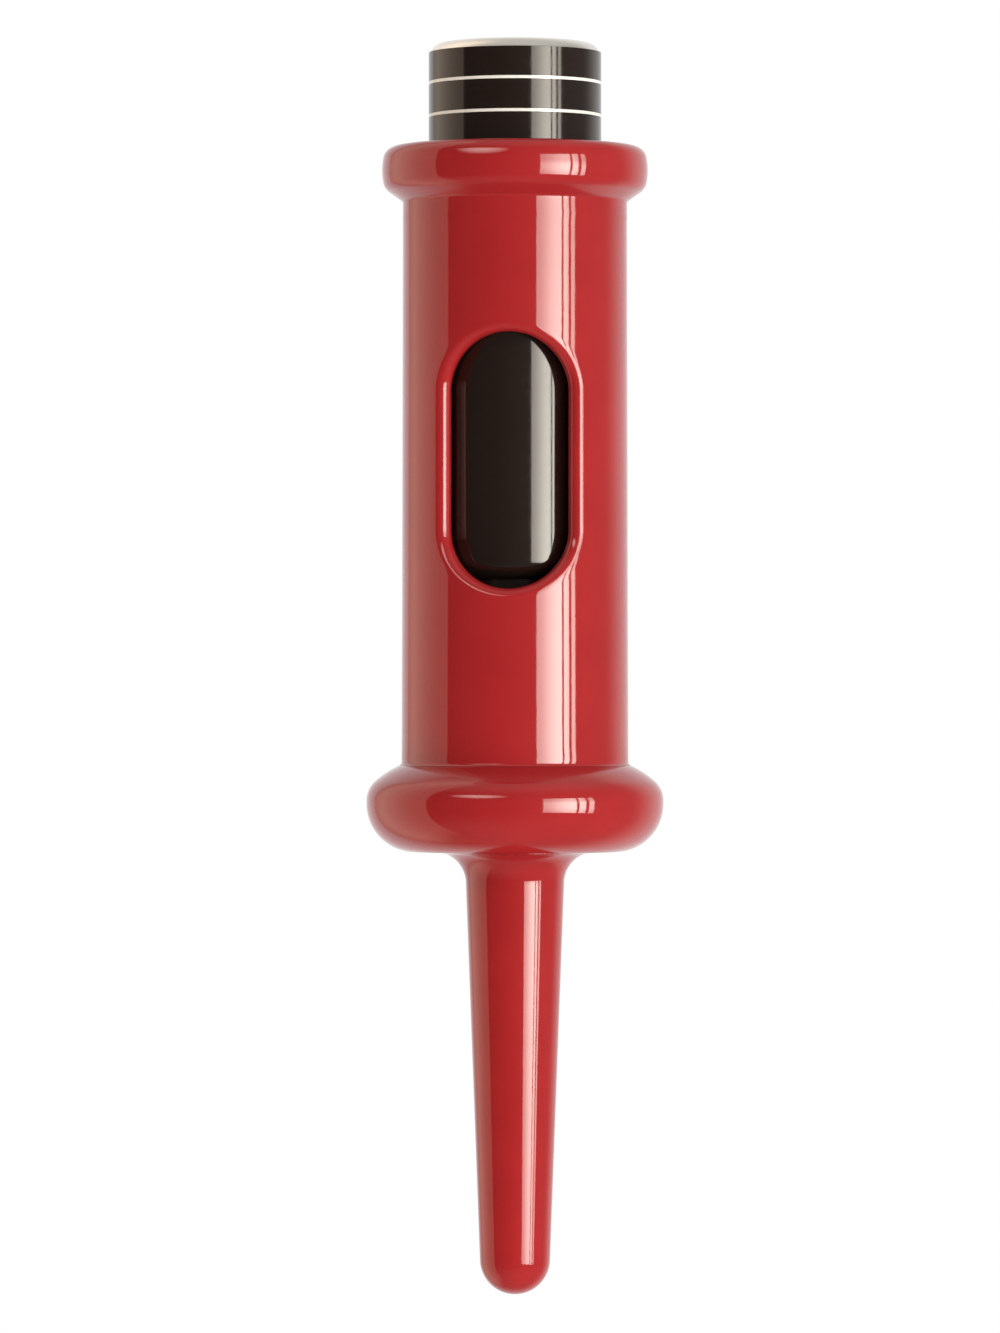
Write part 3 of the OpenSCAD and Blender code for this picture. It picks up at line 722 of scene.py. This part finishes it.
# %% [markdown]
# ### Metals
#
# Drawn, turned and ground metal carry lines from how they were made. On turned metal the lines run round
# the axis, so a noise on (radius, height) alone draws rings for free. Ground steel has short scratches, so
# its noise is squeezed along one direction. The lines drive roughness and a very shallow bump.

# %% Metal finishes
SCRATCH_SCALE = (1.0, 1.0, 0.08)  # drawn out along the height


def metal(name, dark, light, rough, lines, turned=True, depth=0.08):
    """A bare metal with making lines, from a dark and a light tone and a range of roughness."""
    finish, shader, add, link = new_finish(name)
    where = add("TexCoord").outputs["Object"]
    if turned:
        along = turned_coords(add, where)
    else:
        along = add("Mapping", None, Vector=where, Scale=SCRATCH_SCALE).outputs["Vector"]
    streaks = grain(add, along, lines, 3.0)
    blotches = grain(add, where, 180.0, 3.0)
    link(blend_colours(add, blotches, dark, light), shader.inputs["Base Color"])
    link(spread(add, streaks, *NOISE_SPAN, *rough), shader.inputs["Roughness"])
    relief(add, shader, link, streaks, depth, 0.0001)
    shader.inputs["Metallic"].default_value = 1.0
    return finish


steel = metal("ground_steel", (0.52, 0.53, 0.54), (0.66, 0.67, 0.68), (0.18, 0.34), 3200.0, turned=False)
needle_steel = metal(
    "drawn_needle_steel", (0.44, 0.45, 0.46), (0.52, 0.53, 0.54), (0.14, 0.22), 5200.0,
    turned=False, depth=0.02,
)
brass = metal("turned_brass", (0.64, 0.45, 0.17), (0.78, 0.58, 0.25), (0.16, 0.32), 3800.0)
tinplate = metal("pressed_tinplate", (0.58, 0.58, 0.57), (0.70, 0.70, 0.69), (0.20, 0.36), 900.0)
spring_piece.data.materials.append(steel)
print("metals:", [finish.name for finish in (steel, needle_steel, brass, tinplate)])

# %% [markdown]
# ### The can's metal
#
# The can is bare at its base, where it was only drawn and trimmed. Its shoulder and neck are lacquered black,
# so nothing bright shows at the foot of the window. A threshold on the height, hidden under the film, tells
# the two apart: it sets colour, metal and roughness together.

# %% Lacquered can
lacquer_reach = 1.0  # above the shoulder's upper end
lacquer_fade = 0.2
lacquer_z = shoulder_at.y + lacquer_reach


def lacquered_can():
    finish, shader, add, link = new_finish("lacquered_can")
    where = add("TexCoord").outputs["Object"]
    height = add("SeparateXYZ", None, Vector=where).outputs["Z"]
    bare = spread(add, height, lacquer_z * MM, (lacquer_z + lacquer_fade) * MM, 0.0, 1.0)
    streaks = grain(add, turned_coords(add, where), 2600.0, 3.0)
    tone = add("Mix", {"data_type": "RGBA"}, Factor=bare)
    tone.inputs["A"].default_value = (0.012, 0.008, 0.006, 1)
    metal_tone = blend_colours(add, grain(add, where, 180.0, 3.0), (0.74, 0.73, 0.70), (0.84, 0.83, 0.80))
    link(metal_tone, tone.inputs["B"])
    link(tone.outputs["Result"], shader.inputs["Base Color"])
    link(bare, shader.inputs["Metallic"])
    gloss = spread(add, bare, 0.0, 1.0, 0.8, 1.0)
    drawn = spread(add, streaks, *NOISE_SPAN, 0.30, 0.46)
    roughness = add("Math", {"operation": "MULTIPLY"}, i0=gloss, i1=drawn).outputs["Value"]
    link(roughness, shader.inputs["Roughness"])
    relief(add, shader, link, streaks, 0.08, 0.0001)
    shader.inputs["Specular IOR Level"].default_value = 0.2
    return finish


can_piece.data.materials.append(lacquered_can())
print("lacquer below", round(lacquer_z, 2))

# %% [markdown]
# ### Satin plastics and rubber
#
# The cutter's carrier is a black moulding with a fine spark-eroded grain, the valve parts are natural white
# moulding, and the seals are matt rubber. They share one recipe: two near tones, a range of roughness and
# a grain whose size and depth set them apart.

# %% Plastics and rubber
def moulded(name, dark, light, rough, grain_scale, depth):
    """A non-metal with a moulded grain."""
    finish, shader, add, link = new_finish(name)
    where = add("TexCoord").outputs["Object"]
    link(blend_colours(add, grain(add, where, 150.0, 3.0), dark, light), shader.inputs["Base Color"])
    fine = grain(add, where, grain_scale, 2.0)
    link(spread(add, fine, *NOISE_SPAN, *rough), shader.inputs["Roughness"])
    relief(add, shader, link, fine, 0.25, depth)
    return finish


black_plastic = moulded(
    "satin_black_moulding", (0.016, 0.016, 0.017), (0.024, 0.024, 0.025), (0.36, 0.50), 2600.0, 0.0001)
white_plastic = moulded(
    "natural_white_moulding", (0.76, 0.75, 0.70), (0.85, 0.84, 0.80), (0.32, 0.46), 1200.0, 0.00005)
rubber = moulded("black_rubber", (0.018, 0.018, 0.019), (0.032, 0.032, 0.034), (0.60, 0.80), 1800.0, 0.0001)
print("moulded:", [finish.name for finish in (black_plastic, white_plastic, rubber)])

# %% [markdown]
# ### Finishes on the CAD nodes
#
# The nodes that keep their CAD mesh already carry the slot named in the record, so one table from slot to
# finish dresses all of them. The needle is drawn and polished tube, smoother than the ground steel of the
# wheels and pins, so it is the one exception.

# %% Dress the CAD nodes
finishes = {
    "red_gloss": red_finish, "black_plastic": black_plastic, "white_plastic": white_plastic,
    "steel": steel, "tinplate": tinplate, "brass": brass, "rubber": rubber,
    "aluminium": can_piece.data.materials[0], "black_film": film_piece.data.materials[0],
}
exceptions = {"needle": needle_steel}
for row in frame["record"]["subparts"]:
    finish = exceptions.get(row["node"], finishes[row["material_slot"]])
    for place in frame["nodes"][row["node"]].material_slots:
        place.material = finish

# %% [markdown]
# ## The studio
#
# The opener floats in front of white, with its gloss lit by one tall window-like softbox on the right, a
# white card on the left, a thin strip up on the left and a pale room behind. A small card lies low in front
# and lifts the guard. Cards are used in place of lamps because gloss shows a light's outline. Directions are
# degrees from the camera, right positive.

# %% Camera
camera_turn = 4.0
camera_far = 1.416
camera_z = 0.0373
axis_shift = 0.00303


def towards(degrees, far, z):
    """A point at a bearing from the camera's side of the object."""
    angle = math.radians(degrees + camera_turn)
    return Vector((math.sin(angle) * far, -math.cos(angle) * far, z))


camera_data = bpy.data.cameras.new("camera")
camera_data.lens = 189.0
camera_data.sensor_width = 36.0
camera = bpy.data.objects.new("camera", camera_data)
right = Vector((math.cos(math.radians(camera_turn)), math.sin(math.radians(camera_turn)), 0))
camera.location = towards(0, camera_far, camera_z) - right * axis_shift
camera.rotation_euler = (math.radians(90), 0, math.radians(camera_turn))
bpy.context.collection.objects.link(camera)
bpy.context.scene.camera = camera
bpy.context.scene.view_settings.view_transform = "Standard"
print("camera at", [round(v, 3) for v in camera.location])


# %% Light cards
def hang(bm, name, colour):
    """Makes a shining card of a mesh whose points carry their brightness in a layer called glow."""
    mesh = bpy.data.meshes.new(name)
    bm.to_mesh(mesh)
    bm.free()
    finish = bpy.data.materials.new(name)
    finish.use_nodes = True
    tree = finish.node_tree
    tree.nodes.remove(tree.nodes["Principled BSDF"])
    shine = tree.nodes.new("ShaderNodeEmission")
    shine.inputs["Color"].default_value = (*colour, 1)
    level = tree.nodes.new("ShaderNodeAttribute")
    level.attribute_name = "glow"
    tree.links.new(level.outputs["Fac"], shine.inputs["Strength"])
    tree.links.new(shine.outputs["Emission"], tree.nodes["Material Output"].inputs["Surface"])
    mesh.materials.append(finish)
    card = bpy.data.objects.new(name, mesh)
    card.visible_camera = False
    bpy.context.collection.objects.link(card)
    print(name, "faces:", len(mesh.polygons))
    return card


def card(name, panels, low, high, colour, glow):
    """Panels between bearings, from a low to a high edge given as (distance, height).

    The brightness at a point is glow(bearing, height).
    """
    bm = bmesh.new()
    bright = bm.verts.layers.float.new("glow")
    low, high = Vector(low), Vector(high)
    for begin, end in panels:
        verts = bmesh.ops.create_grid(bm, x_segments=16, y_segments=24, size=0.5)["verts"]
        for vert in verts:
            bearing = begin + (vert.co.x + 0.5) * (end - begin)
            far, z = low.lerp(high, vert.co.y + 0.5)
            vert.co = towards(bearing, far, z)
            vert[bright] = max(0.0, glow(bearing, z))
    return hang(bm, name, colour)


def between(value, low, high):
    """0 at low, 1 at high, smooth in between."""
    share = max(0.0, min(1.0, (value - low) / (high - low)))
    return share * share * (3 - 2 * share)


card(
    "softbox", [(21.6, 48.5), (50.6, 56.4), (59.2, 63.6)], (2.5, -0.66), (2.5, 0.84), (1.0, 0.97, 0.89),
    lambda bearing, z: (7.2 + 9.8 * between(bearing, 21, 46) - 7.0 * between(bearing, 48.5, 62))
    * (1.0 - 0.4 * between(z, 0.05, 0.5) - 0.3 * between(-z, 0.1, 0.6)),
)
card(
    "upper_strip", [(-56.0, -4.0)], (2.5, 0.85), (2.5, 1.75), (1.0, 0.92, 0.84),
    lambda bearing, z: 6.0 * (1 - ((bearing + 30) / 26) ** 2 - ((z - 1.3) / 0.45) ** 2),
)
card(
    "side_card", [(-72.0, -140.0)], (1.2, -5.0), (1.2, 5.0), (1.2, 1.0, 0.82),
    lambda bearing, z: (0.9 + 0.4 * between(-bearing, 74, 112) - 0.6 * between(-bearing, 122, 140))
    * (1.0 - 0.7 * between(-z, 1.0, 2.6)),
)
low_card = card(
    "low_card", [(-75.0, 15.0)], (0.08, -0.2), (0.3, -0.2), (1.0, 0.95, 0.9),
    lambda bearing, z: 2.1 * (1 - 0.4 * between(bearing, -45, 15)),
)
low_card.visible_glossy = False

# %% [markdown]
# ### Room and cloth
#
# The room is plain white, and that is also the background. On its own it would fill the gloss with white,
# so a dark cloth hangs in front of the object, round the camera. It is part of a large sphere, cut with a
# plane; it is darkest in front and fades into the room's white towards its rim and overhead.

# %% Room and cloth
room = bpy.data.worlds.new("white_room")
room.use_nodes = True
room.node_tree.nodes["Background"].inputs["Color"].default_value = (1.0, 1.0, 1.0, 1)
room.node_tree.nodes["Background"].inputs["Strength"].default_value = 1.0
bpy.context.scene.world = room

cloth_far = 4.0
cloth_rim = 0.7
behind = -towards(0, 1, 0)
bm = bmesh.new()
bright = bm.verts.layers.float.new("glow")
bmesh.ops.create_uvsphere(bm, u_segments=96, v_segments=64, radius=cloth_far)
bmesh.ops.bisect_plane(
    bm, geom=bm.verts[:] + bm.edges[:] + bm.faces[:],
    plane_co=behind * cloth_rim * cloth_far, plane_no=behind, clear_outer=True, clear_inner=False,
)
for vert in bm.verts:
    way = vert.co.normalized()
    front = 0.10 + 0.22 * between(way.dot(right), -0.5, 0.9)
    front += (0.34 - front) * between(-way.z, 0.3, 0.8)
    open_sky = max(between(way.dot(behind), 0.2, cloth_rim), 0.5 * between(way.z, 0.55, 0.95))
    vert[bright] = front + (1.0 - front) * open_sky
hang(bm, "front_cloth", (1.0, 0.96, 0.9))

# %% [markdown]
# ### Floor
#
# The floor lies well below the hanging opener, so that only its soft shadow and its bounce reach the picture.
# It is kept out of mirror reflections, because the gloss should show the cloth and the cards alone. It fades
# out at its rim, so that it meets the room without a line, and seen from below it is clear, so that the
# opener's underside can be looked at.

# %% Floor
floor_drop = -0.36
floor_r = 1.15
floor_fade = 0.25
bm = bmesh.new()
bmesh.ops.create_circle(bm, cap_ends=True, segments=128, radius=floor_r)
bmesh.ops.translate(bm, vec=(0, 0, floor_drop), verts=bm.verts[:])
floor_mesh = bpy.data.meshes.new("floor")
bm.to_mesh(floor_mesh)
bm.free()
floor = bpy.data.objects.new("floor", floor_mesh)
floor.visible_glossy = False
bpy.context.collection.objects.link(floor)
floor_finish, floor_shader, add, link = new_finish("pale_floor")
where = add("TexCoord").outputs["Object"]
paper = blend_colours(add, grain(add, where, 30.0), (0.92, 0.92, 0.91), (0.94, 0.94, 0.93))
link(paper, floor_shader.inputs["Base Color"])
floor_shader.inputs["Roughness"].default_value = 0.8
radius = add("SeparateXYZ", None, Vector=turned_coords(add, where)).outputs["X"]
at_rim = spread(add, radius, floor_r - floor_fade, floor_r, 0.0, 1.0)
from_below = add("NewGeometry").outputs["Backfacing"]
clear = add("Math", {"operation": "MAXIMUM"}, i0=at_rim, i1=from_below).outputs["Value"]
see_through = add("BsdfTransparent").outputs["BSDF"]
floor_mix = add("MixShader", None, Fac=clear, i1=floor_shader.outputs["BSDF"], i2=see_through)
link(floor_mix.outputs["Shader"], floor_finish.node_tree.nodes["Material Output"].inputs["Surface"])
floor_mesh.materials.append(floor_finish)
print("floor at", floor_drop)
